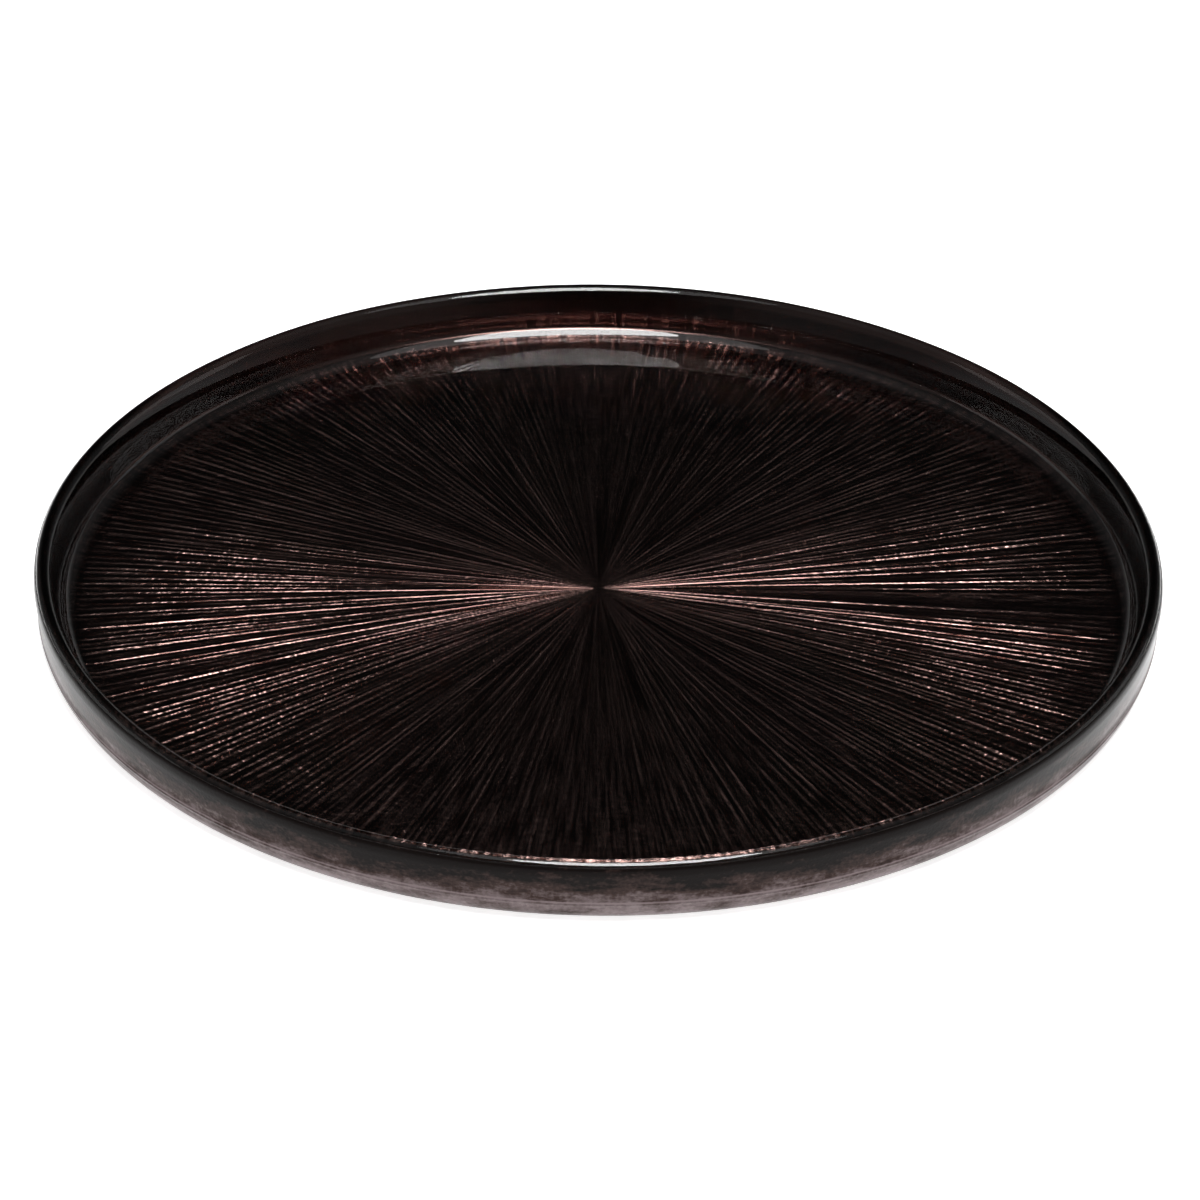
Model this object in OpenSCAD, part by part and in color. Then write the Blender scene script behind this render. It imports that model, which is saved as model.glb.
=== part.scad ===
// Round serving tray of pressed glass: a low dish with a sunburst of ribs
// pressed into its underside, and two coats of lacquer on its back.
// The top of the glass is smooth, and the ribs show through it.

/* [Overall] */
// Diameter over the lacquered wall
tray_d = 330; // [280:1:360]
// Height from the table to the top of the rim
tray_h = 20; // [18:0.5:24]

/* [Glass] */
// Height of the smooth floor above the table
floor_top = 4.4; // [3.8:0.1:5.5]
// Thickness of the rim, which is fully rounded
rim_t = 4; // [3:0.1:4.4]
// Radius of the flat part of the floor, inside the cove
floor_r = 152; // [120:1:153]
// Radius of the cove between the floor and the wall
cove_r = 6; // [4:0.5:7]
// Radius of the rounded corner under the wall
corner_r = 7; // [5:0.5:8]
// How far the rim overhangs the top of that corner
overhang = 0.8; // [0.4:0.1:2]
// How far the mould's parting line stands out from the wall
seam_t = 0.15; // [0.1:0.05:0.3]

/* [Sunburst ribs] */
// Number of grooves between the ribs
groove_count = 240; // [24:1:260]
// Depth of the deepest grooves where the floor meets the corner
groove_depth = 0.55; // [0.2:0.05:0.7]
// Share of the rib pitch that the deepest grooves take up
groove_share = 0.82; // [0.5:0.02:0.84]
// Radius of the plain spot at the centre
hub_r = 12; // [8:1:40]
// Every so many grooves, one is cut to the full depth
bundle = 5; // [2:1:8]

/* [Lacquer] */
// Thickness of the pearl colour coat next to the glass
colour_t = 0.2; // [0.15:0.05:0.3]
// Thickness of the satin sealing coat outside it
seal_t = 0.3; // [0.15:0.05:0.4]
// Height of bare glass between the lacquer's edge and the rim's top
bare_rim = 2.1; // [2:0.1:4]

/* [Hidden] */
$fn = 180;

film_t = colour_t + seal_t;
rim_round = rim_t / 2;
corner_round = corner_r - film_t;
// Centres of the three arcs of the dish's section, as [radius, height]
rim_c = [tray_d / 2 - film_t - rim_round, tray_h - rim_round];
corner_c = [tray_d / 2 - overhang - corner_r, corner_r];
cove_c = [floor_r, floor_top + cove_r];

// How far a line lies from upright when it touches two circles, the upper
// one at b away from the lower, and reach is how far its two ends are offset
function lean(b, reach) = acos(reach / norm(b)) - atan2(b[1], b[0]);
out_lean = lean(rim_c - corner_c, corner_round - rim_round);
in_lean = lean(rim_c - cove_c, cove_r + rim_round);
function facing(a) = [cos(a), -sin(a)];

// The grooves. Each widens and deepens evenly away from the centre, and most
// are a little shallower and off their even spacing.
pitch = 360 / groove_count;
stray = 0.08;                       // greatest shift, as a share of the pitch
shallow = 0.6;                      // depth of the shallowest, as a share
seed = 11;
strays = rands(-stray, stray, groove_count, seed);
depths = rands(shallow, 0.9, groove_count, seed + 1);
run_out = corner_c[0] + 4;          // they run out through the corner
rise = groove_depth / corner_c[0];  // depth gained per mm of radius
spread = tan(pitch * groove_share / 2);
overcut = 0.15;                     // the cutting shape's share below the base

// Back of the dish in section, grown by g over the bare glass, up to height top
module back_section(g, top) {
    n = facing(out_lean);
    foot = corner_c + (corner_round + g) * n;
    head = rim_c + (rim_round + g) * n;
    intersection() {
        union() {
            translate([0, film_t - g])
                square([corner_c[0], tray_h]);
            translate(corner_c)
                circle(r = corner_round + g);
            polygon([corner_c, foot, head, [corner_c[0], head[1]]]);
            translate(foot)
                circle(r = seam_t + g);
        }
        square([tray_d, top]);
    }
}

// Hollow of the dish in section: floor, cove and inside of the wall
module well_section() {
    n = facing(in_lean);
    foot = cove_c + cove_r * n;
    head = rim_c - rim_round * n;
    translate([0, floor_top])
        square([floor_r, tray_h]);
    translate(cove_c)
        circle(r = cove_r);
    polygon([cove_c, foot, head, [head[0], tray_h * 2], [floor_r, tray_h * 2]]);
}

// A groove's cutting shape, depth_share as deep as the deepest
module groove(depth_share) {
    function cut(r) = [
        [r, 0, r * rise * depth_share],
        [r, -r * spread * depth_share * (1 + overcut), -r * rise * depth_share * overcut],
        [r, r * spread * depth_share * (1 + overcut), -r * rise * depth_share * overcut]
    ];
    polyhedron(
        points = concat(cut(hub_r), cut(run_out)),
        faces = [[0, 1, 2], [3, 5, 4], [0, 3, 4, 1], [1, 4, 5, 2], [2, 5, 3, 0]]
    );
}

module grooves(g) {
    for (i = [0 : groove_count - 1])
        rotate(pitch * (i + strays[i]))
            translate([0, 0, film_t - g])
                groove(i % bundle == 0 ? 1 : depths[i]);
}

// Everything inside the back's surface grown by g, with the ribs in it
module back(g, top) {
    difference() {
        rotate_extrude() back_section(g, top);
        grooves(g);
    }
}

module glass_dish() {
    color("lightblue", 0.4)
        difference() {
            rotate_extrude()
                difference() {
                    union() {
                        back_section(0, rim_c[1]);
                        translate(rim_c) circle(r = rim_round);
                    }
                    well_section();
                }
            grooves(0);
        }
}

module colour_coat() {
    color("saddlebrown")
        difference() {
            back(colour_t, tray_h - bare_rim);
            back(0, tray_h);
        }
}

module seal_coat() {
    color("dimgray")
        difference() {
            back(film_t, tray_h - bare_rim);
            back(colour_t, tray_h);
        }
}

glass_dish();
colour_coat();
seal_coat();
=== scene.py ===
# Round glass serving tray, pressed with a sunburst of ribs and lacquered on its back.
# The scene is in metres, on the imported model's own origin and axes. The tray's own sizes are in mm.
import bpy
import bmesh
import random
from math import acos, atan2, cos, hypot, pi, radians, sin
from mathutils import Matrix, Vector


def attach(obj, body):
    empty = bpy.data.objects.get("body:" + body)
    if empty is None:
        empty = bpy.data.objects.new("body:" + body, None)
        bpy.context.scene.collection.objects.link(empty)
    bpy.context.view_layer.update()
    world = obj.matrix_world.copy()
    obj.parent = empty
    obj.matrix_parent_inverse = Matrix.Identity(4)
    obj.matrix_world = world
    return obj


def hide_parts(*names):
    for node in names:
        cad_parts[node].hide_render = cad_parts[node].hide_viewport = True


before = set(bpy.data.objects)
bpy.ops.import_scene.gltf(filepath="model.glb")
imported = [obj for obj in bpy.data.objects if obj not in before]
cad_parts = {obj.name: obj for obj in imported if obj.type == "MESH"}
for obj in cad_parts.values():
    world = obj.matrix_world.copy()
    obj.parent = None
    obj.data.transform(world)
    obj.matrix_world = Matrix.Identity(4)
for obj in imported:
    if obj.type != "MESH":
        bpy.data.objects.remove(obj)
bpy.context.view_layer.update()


# hex sRGB to the linear colour the shaders want
def linear(hexCode):
    out = []
    for i in (0, 2, 4):
        c = int(hexCode[i:i + 2], 16) / 255
        out.append(c / 12.92 if c <= 0.04045 else ((c + 0.055) / 1.055) ** 2.4)
    return (*out, 1.0)


# one node with its settings; a socket given as an input is linked, anything else is its value
def addNode(tree, kind, inputs=None, **settings):
    node = tree.nodes.new(kind)
    for name, value in settings.items():
        setattr(node, name, value)
    for name, value in (inputs or {}).items():
        if isinstance(value, bpy.types.NodeSocket):
            tree.links.new(value, node.inputs[name])
        else:
            node.inputs[name].default_value = value
    return node


def newMaterial(name):
    material = bpy.data.materials.new(name)
    material.use_nodes = True
    material.node_tree.nodes.clear()
    return material, material.node_tree


# The tray's section, in mm: a rounded corner, a nearly upright back, a rim that is rounder on
# its inner side, an inner wall that flares towards the rim, and a cove down to the floor.
section = {
    "cornerCentre": (157.2, 7.0), "cornerRadius": 6.5,
    "rimCentre": (162.4, 17.9), "rimRadius": 2.1, "innerRimRadius": 2.8,
    "flareTop": radians(65), "flareFoot": radians(84),
    "coveTurn": radians(46), "tightCove": 2.2, "wideCove": 7.5,
    "floorTop": 4.4, "glassBase": 0.5,
    "coatTop": 17.5, "colourCoat": 0.2, "sealCoat": 0.3,
    "hair": 0.03,  # how far the colour coat's upper face lies inside the glass
    "waverFrom": (10, 20), "waver": 0.3,  # heights between which the wall starts to dip, and the mean dip
}

# The ribs, in three sizes: each has its widths in steps of the full turn, the radii in mm between which
# it grows in and then eases, and its relief in mm before and after. Finer ribs start further out, and all
# of them lose most of their depth just before the corner. The steps are a multiple of 64, and the last
# rib takes whatever closes the turn.
ribs = {
    "steps": 1728, "lastRib": 24, "seed": 41, "rings": (2, 9, 20, 38, 60, 85, 110, 140),
    "depths": (0.65, 0.8, 0.9, 1.0), "edgeFade": 0.9, "edgeFadeFrom": (149, 156.5),
    "sizes": (
        {"widths": (11, 13, 16, 19, 24), "grows": (1, 20), "eases": (38, 110), "relief": (0.20, 0.05)},
        {"widths": (6, 7, 8, 9, 11), "grows": (20, 60), "eases": (85, 140), "relief": (0.25, 0.09)},
        {"widths": (4, 5, 5, 6, 6), "grows": (60, 110), "eases": (110, 140), "relief": (0.36, 0.44)},
    ),
}


# how far a straight run that touches two arcs leans from upright
def lean(lower, upper, reach):
    dx, dz = upper[0] - lower[0], upper[1] - lower[1]
    return acos(reach / hypot(dx, dz)) - atan2(dz, dx)


outLean = lean(section["cornerCentre"], section["rimCentre"],
               section["cornerRadius"] - section["rimRadius"])


# height of one size of rib at every step round, 0 on a crown and 1 in the deepest groove
def makeRibProfile(size, rng):
    edges = [0]
    while edges[-1] < ribs["steps"] - ribs["lastRib"]:
        edges.append(edges[-1] + rng.choice(size["widths"]))
    edges.append(ribs["steps"])
    depths = [rng.choice(ribs["depths"]) for _ in edges]
    depths[-1] = depths[0]
    profile = []
    for i in range(len(edges) - 1):
        crown, peak = rng.uniform(0, 0.15), rng.uniform(0.35, 0.65)
        for step in range(edges[i + 1] - edges[i]):
            u = step / (edges[i + 1] - edges[i])
            side = (peak - u) / peak if u < peak else (u - peak) / (1 - peak)
            end = depths[i] if u < peak else depths[i + 1]
            profile.append(crown + (end - crown) * side ** 1.7)
    return profile


def makeRibProfiles():
    rng = random.Random(ribs["seed"])
    return [makeRibProfile(size, rng) for size in ribs["sizes"]]


ribProfiles = makeRibProfiles()


# how far a value is between two others, kept from 0 to 1
def portion(value, ends):
    return min(1, max(0, (value - ends[0]) / (ends[1] - ends[0])))


# depth of the pressing at a radius in mm and a step round
def ribDepth(r, step):
    depth = 0
    for size, profile in zip(ribs["sizes"], ribProfiles):
        early, late = size["relief"]
        relief = early + (late - early) * portion(r, size["eases"])
        depth += profile[step] * portion(r, size["grows"]) * relief
    return depth * (1 - ribs["edgeFade"] * portion(r, ribs["edgeFadeFrom"]))


# a chain of vertices in the XZ plane, drawn in mm, that a full spin turns into a piece
class Pen:
    def __init__(self, x, z):
        self.bm = bmesh.new()
        self.tip = self.bm.verts.new((x / 1000, 0, z / 1000))

    def line(self, x, z, steps=1):
        x0, z0 = self.tip.co.x, self.tip.co.z
        for i in range(1, steps + 1):
            new = bmesh.ops.extrude_vert_indiv(self.bm, verts=[self.tip])["verts"][0]
            new.co = (x0 + (x / 1000 - x0) * i / steps, 0, z0 + (z / 1000 - z0) * i / steps)
            self.tip = new

    # angle is positive anticlockwise, seen with X to the right and Z up
    def arc(self, centre, angle, steps):
        made = bmesh.ops.spin(self.bm, geom=[self.tip], cent=(centre[0] / 1000, 0, centre[1] / 1000),
                              axis=(0, -1, 0), angle=angle, steps=steps, use_duplicate=False)
        self.tip = [g for g in made["geom_last"] if isinstance(g, bmesh.types.BMVert)][0]

    # an arc that carries on smoothly, for a surface tilted from one angle to another; hollow if the
    # radius is positive
    def bend(self, radius, tilt, newTilt, steps):
        x, z = self.tip.co.x * 1000, self.tip.co.z * 1000
        self.arc((x - radius * sin(tilt), z + radius * cos(tilt)), newTilt - tilt, steps)

    # spins one wedge, then doubles it round until the turn is full
    def close(self, steps, doublings=6):
        bm = self.bm
        wedge = 2 * pi / 2 ** doublings
        bmesh.ops.spin(bm, geom=bm.verts[:] + bm.edges[:], cent=(0, 0, 0), axis=(0, 0, 1), angle=wedge,
                       steps=steps // 2 ** doublings, use_merge=False, use_duplicate=False)
        for i in range(doublings):
            copy = bmesh.ops.duplicate(bm, geom=bm.verts[:] + bm.edges[:] + bm.faces[:])["geom"]
            bmesh.ops.rotate(bm, verts=[g for g in copy if isinstance(g, bmesh.types.BMVert)], cent=(0, 0, 0),
                             matrix=Matrix.Rotation(wedge * 2 ** i, 3, "Z"))
        bmesh.ops.remove_doubles(bm, verts=bm.verts[:], dist=2e-6)
        return bm


# a point on an arc of that radius, at an angle from +X
def onArc(centre, radius, angle):
    return centre[0] + radius * cos(angle), centre[1] + radius * sin(angle)


# the back of the tray, grown outwards by g: base, corner, then up the wall to height top
def drawBack(pen, g, cornerSteps, top, wallSteps, seam=0):
    base = section["glassBase"] - g
    for r in ribs["rings"]:
        pen.line(r, base)
    pen.line(section["cornerCentre"][0], base)
    pen.arc(section["cornerCentre"], pi / 2 - outLean, cornerSteps)
    if seam:
        x, z = pen.tip.co.x * 1000, pen.tip.co.z * 1000
        pen.line(x + seam, z + 0.15)
        pen.line(x + seam, z + 0.4)
        pen.line(x, z + 0.6)
    foot = onArc(section["cornerCentre"], section["cornerRadius"] + g, -outLean)
    head = onArc(section["rimCentre"], section["rimRadius"] + g, -outLean)
    share = min(1, (top - foot[1]) / (head[1] - foot[1]))
    pen.line(foot[0] + (head[0] - foot[0]) * share, foot[1] + (head[1] - foot[1]) * share, wallSteps)


# presses the ribs into every vertex of the back, fading out as it climbs the corner
def pressRibs(bm, g):
    cx, cz = section["cornerCentre"]
    radius = section["cornerRadius"] + g
    base = section["glassBase"] - g
    turn = ribs["steps"] / (2 * pi)
    for v in bm.verts:
        r, z = hypot(v.co.x, v.co.y) * 1000, v.co.z * 1000
        if r < 1:
            continue
        step = round(atan2(v.co.y, v.co.x) * turn) % ribs["steps"]
        if r <= cx + 0.001 and abs(z - base) < 0.01:
            v.co.z += ribDepth(r, step) / 1000
        elif r > cx and z < cz and abs(hypot(r - cx, z - cz) - radius) < 0.05:
            climb = atan2(r - cx, cz - z) / (pi / 2 - outLean)
            push = ribDepth(r, step) * max(0, 1 - climb) ** 3
            dr, dz = (cx - r) / radius * push, (cz - z) / radius * push
            v.co.x += v.co.x / r * dr
            v.co.y += v.co.y / r * dr
            v.co.z += dz / 1000


# lowers the wall a little, unevenly, as a fire-polished rim is never quite level
def waver(bm):
    for v in bm.verts:
        climb = portion(v.co.z * 1000, section["waverFrom"])
        if climb:
            a = atan2(v.co.y, v.co.x)
            dip = section["waver"] + 0.1 * sin(3 * a + pi / 2) + 0.05 * sin(8 * a) + 0.03 * sin(13 * a + 2)
            v.co.z -= climb * dip / 1000


# recalculated normals, smooth shading and the frame's bookkeeping
def finishPiece(bm, name, node, material):
    waver(bm)
    bmesh.ops.recalc_face_normals(bm, faces=bm.faces[:])
    for face in bm.faces:
        face.smooth = True
    mesh = bpy.data.meshes.new(name)
    bm.to_mesh(mesh)
    bm.free()
    piece = bpy.data.objects.new(name, mesh)
    bpy.context.scene.collection.objects.link(piece)
    mesh.materials.append(material)
    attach(piece, "root")
    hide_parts(node)
    print(name, len(mesh.polygons), "faces")


# Clear soda-lime glass, pressed and fire-polished: sharp reflections and a clear view of what is behind.
glassFinish = {"tint": "fbfcfb", "roughness": 0.0, "ior": 1.52, "swellDepth": 0.00003}


def makeGlass():
    material, tree = newMaterial("pressedSodaLimeGlass")
    coords = addNode(tree, "ShaderNodeTexCoord")
    # the mould leaves a soft unevenness of a few centimetres, seen only where reflections bend
    swell = addNode(tree, "ShaderNodeTexNoise", {
        "Vector": coords.outputs["Object"], "Scale": 28.0, "Detail": 1.0})
    bump = addNode(tree, "ShaderNodeBump", {
        "Height": swell.outputs["Fac"], "Strength": 1.0, "Distance": glassFinish["swellDepth"]})
    glass = addNode(tree, "ShaderNodeBsdfPrincipled", {
        "Base Color": linear(glassFinish["tint"]), "Roughness": glassFinish["roughness"],
        "IOR": glassFinish["ior"], "Transmission Weight": 1.0, "Normal": bump.outputs["Normal"]})
    addNode(tree, "ShaderNodeOutputMaterial", {"Surface": glass.outputs["BSDF"]})
    return material


# Brown-black pearl lacquer, sprayed on the glass: dark, with flakes that flash where a rib faces a light.
pearlFinish = {
    "dark": "33201c", "light": "846b66", "darkAt": 0.38, "lightAt": 0.62,
    "wallShade": 0.46,  # where on that scale the plain wall lies
    "roughness": 0.15, "rippleDepth": 0.0002, "grainDepth": 0.00007,
}


def makePearl():
    material, tree = newMaterial("sprayedPearlLacquer")
    coords = addNode(tree, "ShaderNodeTexCoord")
    place = addNode(tree, "ShaderNodeSeparateXYZ", {"Vector": coords.outputs["Object"]})
    turn = addNode(tree, "ShaderNodeMath", {
        0: place.outputs["Y"], 1: place.outputs["X"]}, operation="ARCTAN2")
    flat = addNode(tree, "ShaderNodeVectorMath", {
        0: coords.outputs["Object"], 1: (1, 1, 0)}, operation="MULTIPLY")
    away = addNode(tree, "ShaderNodeVectorMath", {0: flat.outputs["Vector"]}, operation="LENGTH")
    polar = addNode(tree, "ShaderNodeCombineXYZ", {"X": turn.outputs["Value"], "Y": away.outputs["Value"]})
    # streaks along the ribs, about 90 to a turn near the hub and 600 further out: the dark ones are painted
    # shade, standing in for the shade in the grooves, and the pale ones raise the flakes' own reflectance
    wide = addNode(tree, "ShaderNodeMapping", {"Vector": polar.outputs["Vector"], "Scale": (14.0, 12.0, 1.0)})
    wideStreak = addNode(tree, "ShaderNodeTexNoise", {
        "Vector": wide.outputs["Vector"], "Scale": 1.0, "Detail": 2.0, "Roughness": 0.8})
    narrow = addNode(tree, "ShaderNodeMapping", {
        "Vector": polar.outputs["Vector"], "Scale": (100.0, 60.0, 1.0)})
    narrowStreak = addNode(tree, "ShaderNodeTexNoise", {
        "Vector": narrow.outputs["Vector"], "Scale": 1.0, "Detail": 1.0, "Roughness": 0.6})
    outward = addNode(tree, "ShaderNodeMapRange", {
        "Value": away.outputs["Value"], "From Min": 0.03, "From Max": 0.12})
    streak = addNode(tree, "ShaderNodeMix", {
        "Factor": outward.outputs["Result"],
        "A": wideStreak.outputs["Fac"], "B": narrowStreak.outputs["Fac"]})
    # a ripple about every 2.4 mm along each rib, stronger towards the edge
    rippleMap = addNode(tree, "ShaderNodeMapping", {
        "Vector": polar.outputs["Vector"], "Scale": (48.0, 420.0, 1.0)})
    ripple = addNode(tree, "ShaderNodeTexNoise", {
        "Vector": rippleMap.outputs["Vector"], "Scale": 1.0, "Detail": 1.0, "Roughness": 0.5})
    fade = addNode(tree, "ShaderNodeMapRange", {
        "Value": away.outputs["Value"], "From Min": 0.01, "From Max": 0.13})
    # the pressing stops at the corner, so the wall is plain
    onFloor = addNode(tree, "ShaderNodeMapRange", {
        "Value": place.outputs["Z"], "From Min": 0.0026, "From Max": 0.0014})
    strength = addNode(tree, "ShaderNodeMath", {
        0: fade.outputs["Result"], 1: onFloor.outputs["Result"]}, operation="MULTIPLY")
    ripples = addNode(tree, "ShaderNodeMath", {
        0: ripple.outputs["Fac"], 1: strength.outputs["Value"]}, operation="MULTIPLY")
    rippleBump = addNode(tree, "ShaderNodeBump", {
        "Height": ripples.outputs["Value"], "Strength": 1.0,
        "Distance": pearlFinish["rippleDepth"]})
    # flakes are finer than can be seen, so this grain is drawn at about 1 mm
    grain = addNode(tree, "ShaderNodeTexNoise", {
        "Vector": coords.outputs["Object"], "Scale": 1100.0, "Detail": 2.0})
    grains = addNode(tree, "ShaderNodeMath", {
        0: grain.outputs["Fac"], 1: onFloor.outputs["Result"]}, operation="MULTIPLY")
    grainBump = addNode(tree, "ShaderNodeBump", {
        "Height": grains.outputs["Value"], "Strength": 1.0, "Distance": pearlFinish["grainDepth"],
        "Normal": rippleBump.outputs["Normal"]})
    streaks = addNode(tree, "ShaderNodeMix", {
        "Factor": onFloor.outputs["Result"], "A": pearlFinish["wallShade"], "B": streak.outputs["Result"]})
    # the dark end of this scale is painted shade for the grooves
    tint = addNode(tree, "ShaderNodeValToRGB", {"Fac": streaks.outputs["Result"]})
    dark, light = tint.color_ramp.elements
    dark.position, dark.color = pearlFinish["darkAt"], linear(pearlFinish["dark"])
    light.position, light.color = pearlFinish["lightAt"], linear(pearlFinish["light"])
    lacquer = addNode(tree, "ShaderNodeBsdfPrincipled", {
        "Base Color": tint.outputs["Color"], "Metallic": 1.0, "Roughness": pearlFinish["roughness"],
        "Normal": grainBump.outputs["Normal"]})
    addNode(tree, "ShaderNodeOutputMaterial", {"Surface": lacquer.outputs["BSDF"]})
    return material


# Satin sealing lacquer, sprayed on last: near-black under the rim and lighter grey-brown lower down, with
# a soft sheen.
satinFinish = {
    "dark": "0c0807", "middle": "352825", "light": "746869", "darkAt": 0.1, "middleAt": 0.45, "lightAt": 1.0,
    "roughness": 0.36, "ior": 1.33, "specular": 0.1, "sheen": 0.5, "sheenRoughness": 0.3,
    "grainDepth": 0.00006,
}


def makeSatin():
    material, tree = newMaterial("sprayedSatinLacquer")
    coords = addNode(tree, "ShaderNodeTexCoord")
    place = addNode(tree, "ShaderNodeSeparateXYZ", {"Vector": coords.outputs["Object"]})
    # the spray's clouds are 10 to 20 mm long round the wall and finer up it
    stretch = addNode(tree, "ShaderNodeMapping", {
        "Vector": coords.outputs["Object"], "Scale": (1.0, 1.0, 3.2)})
    mottle = addNode(tree, "ShaderNodeTexNoise", {
        "Vector": stretch.outputs["Vector"], "Scale": 70.0, "Detail": 7.0, "Roughness": 0.68})
    cloud = addNode(tree, "ShaderNodeMapRange", {
        "Value": mottle.outputs["Fac"], "From Min": 0.3, "From Max": 0.7, "To Min": -0.4, "To Max": 0.4})
    # darker towards the rim and lighter towards the base
    climb = addNode(tree, "ShaderNodeMapRange", {
        "Value": place.outputs["Z"], "From Min": 0.0178, "From Max": 0.006, "To Min": -0.2, "To Max": 0.72})
    # a lighter line painted along the mould's parting line: a painted highlight, on top of the one the bead
    # there catches
    seamOff = addNode(tree, "ShaderNodeMath", {0: place.outputs["Z"], 1: 0.0074}, operation="SUBTRACT")
    seamAway = addNode(tree, "ShaderNodeMath", {0: seamOff.outputs["Value"]}, operation="ABSOLUTE")
    seam = addNode(tree, "ShaderNodeMapRange", {
        "Value": seamAway.outputs["Value"], "From Min": 0.0004, "From Max": 0.0001, "To Max": 0.4})
    # fine flecks of overspray, drawn at about 1 mm
    fleck = addNode(tree, "ShaderNodeTexNoise", {
        "Vector": coords.outputs["Object"], "Scale": 900.0, "Detail": 2.0})
    flecks = addNode(tree, "ShaderNodeMapRange", {
        "Value": fleck.outputs["Fac"], "From Min": 0.4, "From Max": 0.75, "To Max": 0.2})
    # the spray's mottle and flecks, the darker-to-lighter climb, and the painted highlight on the parting
    # line
    mottleAndSeamHighlight = cloud
    for part in (climb, seam, flecks):
        mottleAndSeamHighlight = addNode(tree, "ShaderNodeMath", {
            0: mottleAndSeamHighlight.outputs[0], 1: part.outputs["Result"]}, operation="ADD")
    tint = addNode(tree, "ShaderNodeValToRGB", {"Fac": mottleAndSeamHighlight.outputs["Value"]})
    dark, light = tint.color_ramp.elements
    dark.position, dark.color = satinFinish["darkAt"], linear(satinFinish["dark"])
    light.position, light.color = satinFinish["lightAt"], linear(satinFinish["light"])
    middle = tint.color_ramp.elements.new(satinFinish["middleAt"])
    middle.color = linear(satinFinish["middle"])
    # the satin's own grain, drawn at about 0.7 mm, as the real one is too fine to see
    grain = addNode(tree, "ShaderNodeTexNoise", {
        "Vector": coords.outputs["Object"], "Scale": 1400.0, "Detail": 2.0})
    bump = addNode(tree, "ShaderNodeBump", {
        "Height": grain.outputs["Fac"], "Strength": 1.0, "Distance": satinFinish["grainDepth"]})
    lacquer = addNode(tree, "ShaderNodeBsdfPrincipled", {
        "Base Color": tint.outputs["Color"], "Roughness": satinFinish["roughness"],
        "IOR": satinFinish["ior"], "Specular IOR Level": satinFinish["specular"],
        "Sheen Weight": satinFinish["sheen"], "Sheen Roughness": satinFinish["sheenRoughness"],
        "Normal": bump.outputs["Normal"]})
    addNode(tree, "ShaderNodeOutputMaterial", {"Surface": lacquer.outputs["BSDF"]})
    return material


def makeGlassDish(material):
    pen = Pen(0, section["glassBase"])
    rim, inner = section["rimCentre"], section["innerRimRadius"]
    rimTop = rim[1] + section["rimRadius"]
    drawBack(pen, 0, 9, rimTop, 2)
    pen.arc(rim, pi / 2 + outLean, 7)
    pen.arc((rim[0], rimTop - inner), section["flareTop"], 7)
    # the flare's radius is the one that meets both the rim and the cove
    turn, top, foot = section["coveTurn"], section["flareTop"], section["flareFoot"]
    tight, wide = section["tightCove"], section["wideCove"]
    coveTop = section["floorTop"] + wide * (1 - cos(turn)) + tight * (cos(turn) - cos(foot))
    flare = (pen.tip.co.z * 1000 - coveTop) / (cos(top) - cos(foot))
    pen.bend(-flare, top, foot, 4)
    pen.bend(tight, foot, turn, 5)
    pen.bend(wide, turn, 0, 8)
    pen.line(80, section["floorTop"], 2)
    pen.line(0, section["floorTop"], 2)
    bm = pen.close(ribs["steps"])
    pressRibs(bm, 0)
    finishPiece(bm, "glassDish", "glass_dish", material)


# the coat's hidden side: from the tip down the wall, round the corner and in to the axis
def drawUnder(pen, g):
    foot = onArc(section["cornerCentre"], section["cornerRadius"] + g, -outLean)
    pen.line(*foot, 2)
    pen.arc(section["cornerCentre"], -(pi / 2 - outLean), 6)
    for r in reversed(ribs["rings"]):
        pen.line(r, section["glassBase"] - g)
    pen.line(0, section["glassBase"] - g)


# Its upper face lies a hair inside the glass, so there is no air gap to see between them.
def makeColourCoat(material):
    hair, under = section["hair"], section["colourCoat"]
    pen = Pen(0, section["glassBase"] + hair)
    drawBack(pen, -hair, 9, section["coatTop"], 3)
    pen.line(pen.tip.co.x * 1000 + hair + under, section["coatTop"])
    drawUnder(pen, under)
    bm = pen.close(ribs["steps"])
    pressRibs(bm, -hair)
    pressRibs(bm, under)
    finishPiece(bm, "colourCoat", "colour_coat", material)


# The spray thins out to nothing over the rim's outer side, and its last edge is sunk in the glass.
feather = {
    "startBelow": 1.7,  # how far under the coat's top the thinning starts, in mm
    "seam": 0.16,  # how far the parting line stands out, in mm
    "wall": ((0.42, 0.6), (0.36, 1.3), (0.3, 1.9)),  # thickness and rise above the start, in mm
    "rim": ((0.22, 8), (0.13, 17), (0.05, 26), (-0.04, 35)),  # thickness in mm, and degrees round the rim
    "innerEdge": (0.1, 1.1),  # thickness and rise where the hidden face leaves the rim, in mm
}


def makeSealCoat(material):
    inner = section["colourCoat"]
    whole = inner + section["sealCoat"]
    wallTop = section["coatTop"] - feather["startBelow"]
    wallRadius = section["rimCentre"][0] + section["rimRadius"]
    pen = Pen(0, section["glassBase"] - whole)
    drawBack(pen, whole, 14, wallTop, 3, feather["seam"])
    for thickness, rise in feather["wall"]:
        pen.line(wallRadius + thickness, wallTop + rise)
    for thickness, angle in feather["rim"]:
        pen.line(*onArc(section["rimCentre"], section["rimRadius"] + thickness, radians(angle)))
    # the hidden face cuts a little inside the glass here
    pen.line(wallRadius + feather["innerEdge"][0], wallTop + feather["innerEdge"][1])
    drawUnder(pen, inner)
    bm = pen.close(ribs["steps"])
    pressRibs(bm, whole)
    pressRibs(bm, inner)
    finishPiece(bm, "sealCoat", "seal_coat", material)


makeGlassDish(makeGlass())
makeColourCoat(makePearl())
makeSealCoat(makeSatin())


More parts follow.
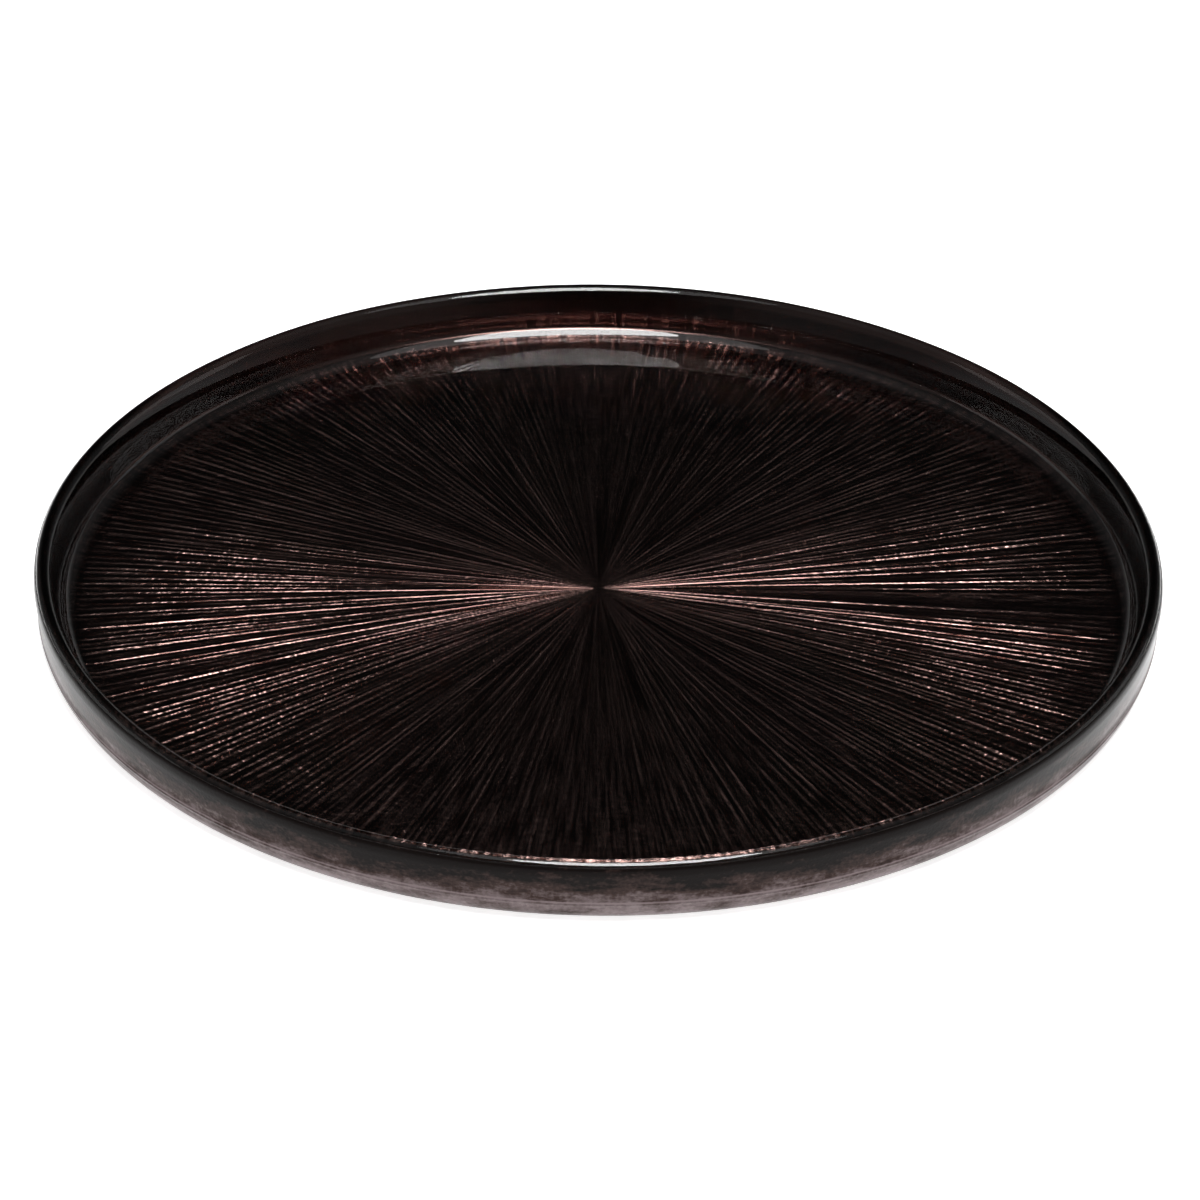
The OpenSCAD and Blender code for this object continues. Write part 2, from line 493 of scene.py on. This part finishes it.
# A pale tabletop of matt laminate.
def makeFloor():
    material, tree = newMaterial("mattWhiteLaminate")
    coords = addNode(tree, "ShaderNodeTexCoord")
    grain = addNode(tree, "ShaderNodeTexNoise", {
        "Vector": coords.outputs["Object"], "Scale": 600.0, "Detail": 2.0})
    bump = addNode(tree, "ShaderNodeBump", {
        "Height": grain.outputs["Fac"], "Strength": 0.2, "Distance": 0.00005})
    laminate = addNode(tree, "ShaderNodeBsdfPrincipled", {
        "Base Color": linear("f4f4f4"), "Roughness": 0.7, "Emission Color": linear("ffffff"),
        "Emission Strength": 0.8, "Normal": bump.outputs["Normal"]})
    addNode(tree, "ShaderNodeOutputMaterial", {"Surface": laminate.outputs["BSDF"]})
    bm = bmesh.new()
    bmesh.ops.create_circle(bm, cap_ends=True, radius=8, segments=96)
    mesh = bpy.data.meshes.new("floor")
    bm.to_mesh(mesh)
    bm.free()
    floor = bpy.data.objects.new("floor", mesh)
    bpy.context.scene.collection.objects.link(floor)
    mesh.materials.append(material)


# Softboxes: place in metres, what they face, size across and along, and power in watts.
lights = {
    "overheadBox": {
        "at": (0.15, -0.52, 2.0), "towards": (0.15, -0.52, 0), "size": (0.96, 1.65), "power": 56},
    "overheadHaze": {
        "at": (0.15, -0.52, 2.05), "towards": (0.15, -0.52, 0), "size": (1.7, 2.5), "power": 8},
    "leftCard": {"at": (-1.7, 0.5, 0.7), "towards": (0, 0, 0), "size": (1.6, 0.8), "power": 1.2},
    "rightCard": {"at": (1.7, 0.5, 0.7), "towards": (0, 0, 0), "size": (1.6, 0.8), "power": 1.2},
}


def makeLights():
    for name, box in lights.items():
        lamp = bpy.data.lights.new(name, "AREA")
        lamp.shape = "ELLIPSE"
        lamp.size, lamp.size_y = box["size"]
        lamp.energy = box["power"]
        holder = bpy.data.objects.new(name, lamp)
        holder.location = box["at"]
        facing = Vector(box["towards"]) - Vector(box["at"])
        holder.rotation_euler = facing.to_track_quat("-Z", "Y").to_euler()
        holder.visible_camera = False
        bpy.context.scene.collection.objects.link(holder)


# The room: pale where the camera looks past the floor; in reflections a dim glow at the sides and
# overhead, and a brighter one along the horizon at the back.
def makeRoom():
    world = bpy.data.worlds.new("studio")
    world.use_nodes = True
    tree = world.node_tree
    tree.nodes.clear()
    coords = addNode(tree, "ShaderNodeTexCoord")
    place = addNode(tree, "ShaderNodeSeparateXYZ", {"Vector": coords.outputs["Generated"]})
    sideways = addNode(tree, "ShaderNodeMath", {0: place.outputs["X"]}, operation="ABSOLUTE")
    glows = []
    for source, dark, bright, strength in (
            (sideways.outputs["Value"], 0.15, 0.7, 0.12), (place.outputs["Z"], 0.7, 0.95, 0.2)):
        glows.append(addNode(tree, "ShaderNodeMapRange", {
            "Value": source, "From Min": dark, "From Max": bright, "To Max": strength},
            interpolation_type="SMOOTHSTEP").outputs["Result"])
    low = addNode(tree, "ShaderNodeMapRange", {
        "Value": place.outputs["Z"], "From Min": 0.3, "From Max": 0.05}, interpolation_type="SMOOTHSTEP")
    back = addNode(tree, "ShaderNodeMapRange", {
        "Value": place.outputs["Y"], "From Min": -0.5, "From Max": 0.2, "To Max": 0.35},
        interpolation_type="SMOOTHSTEP")
    glows.append(addNode(tree, "ShaderNodeMath", {
        0: low.outputs["Result"], 1: back.outputs["Result"]}, operation="MULTIPLY").outputs["Value"])
    level = addNode(tree, "ShaderNodeMath", {0: glows[0], 1: 0.012}, operation="ADD")
    for glow in glows[1:]:
        level = addNode(tree, "ShaderNodeMath", {0: level.outputs["Value"], 1: glow}, operation="ADD")
    dim = addNode(tree, "ShaderNodeBackground", {"Strength": level.outputs["Value"]})
    pale = addNode(tree, "ShaderNodeBackground", {"Color": linear("f6f6f6")})
    path = addNode(tree, "ShaderNodeLightPath")
    mix = addNode(tree, "ShaderNodeMixShader", {
        0: path.outputs["Is Camera Ray"], 1: dim.outputs["Background"], 2: pale.outputs["Background"]})
    addNode(tree, "ShaderNodeOutputWorld", {"Surface": mix.outputs["Shader"]})
    bpy.context.scene.world = world
    bpy.context.scene.view_settings.view_transform = "Standard"


# Low three-quarter view from the front, with a long lens.
view = {
    "at": (0, -1.0191, 0.6299), "down": radians(30.93), "roll": 0.0130, "lens": 121.35,
    "shift": (0.00093, -0.0496),
}


def makeCamera():
    camera = bpy.data.cameras.new("camera")
    camera.lens = view["lens"]
    camera.sensor_width = 36
    camera.shift_x, camera.shift_y = view["shift"]
    holder = bpy.data.objects.new("camera", camera)
    turn = Matrix.Rotation(pi / 2 - view["down"], 4, "X") @ Matrix.Rotation(view["roll"], 4, "Z")
    holder.matrix_world = Matrix.Translation(view["at"]) @ turn
    bpy.context.scene.collection.objects.link(holder)
    bpy.context.scene.camera = holder


makeFloor()
makeLights()
makeRoom()
makeCamera()
print("stage ready")

bpy.context.view_layer.update()
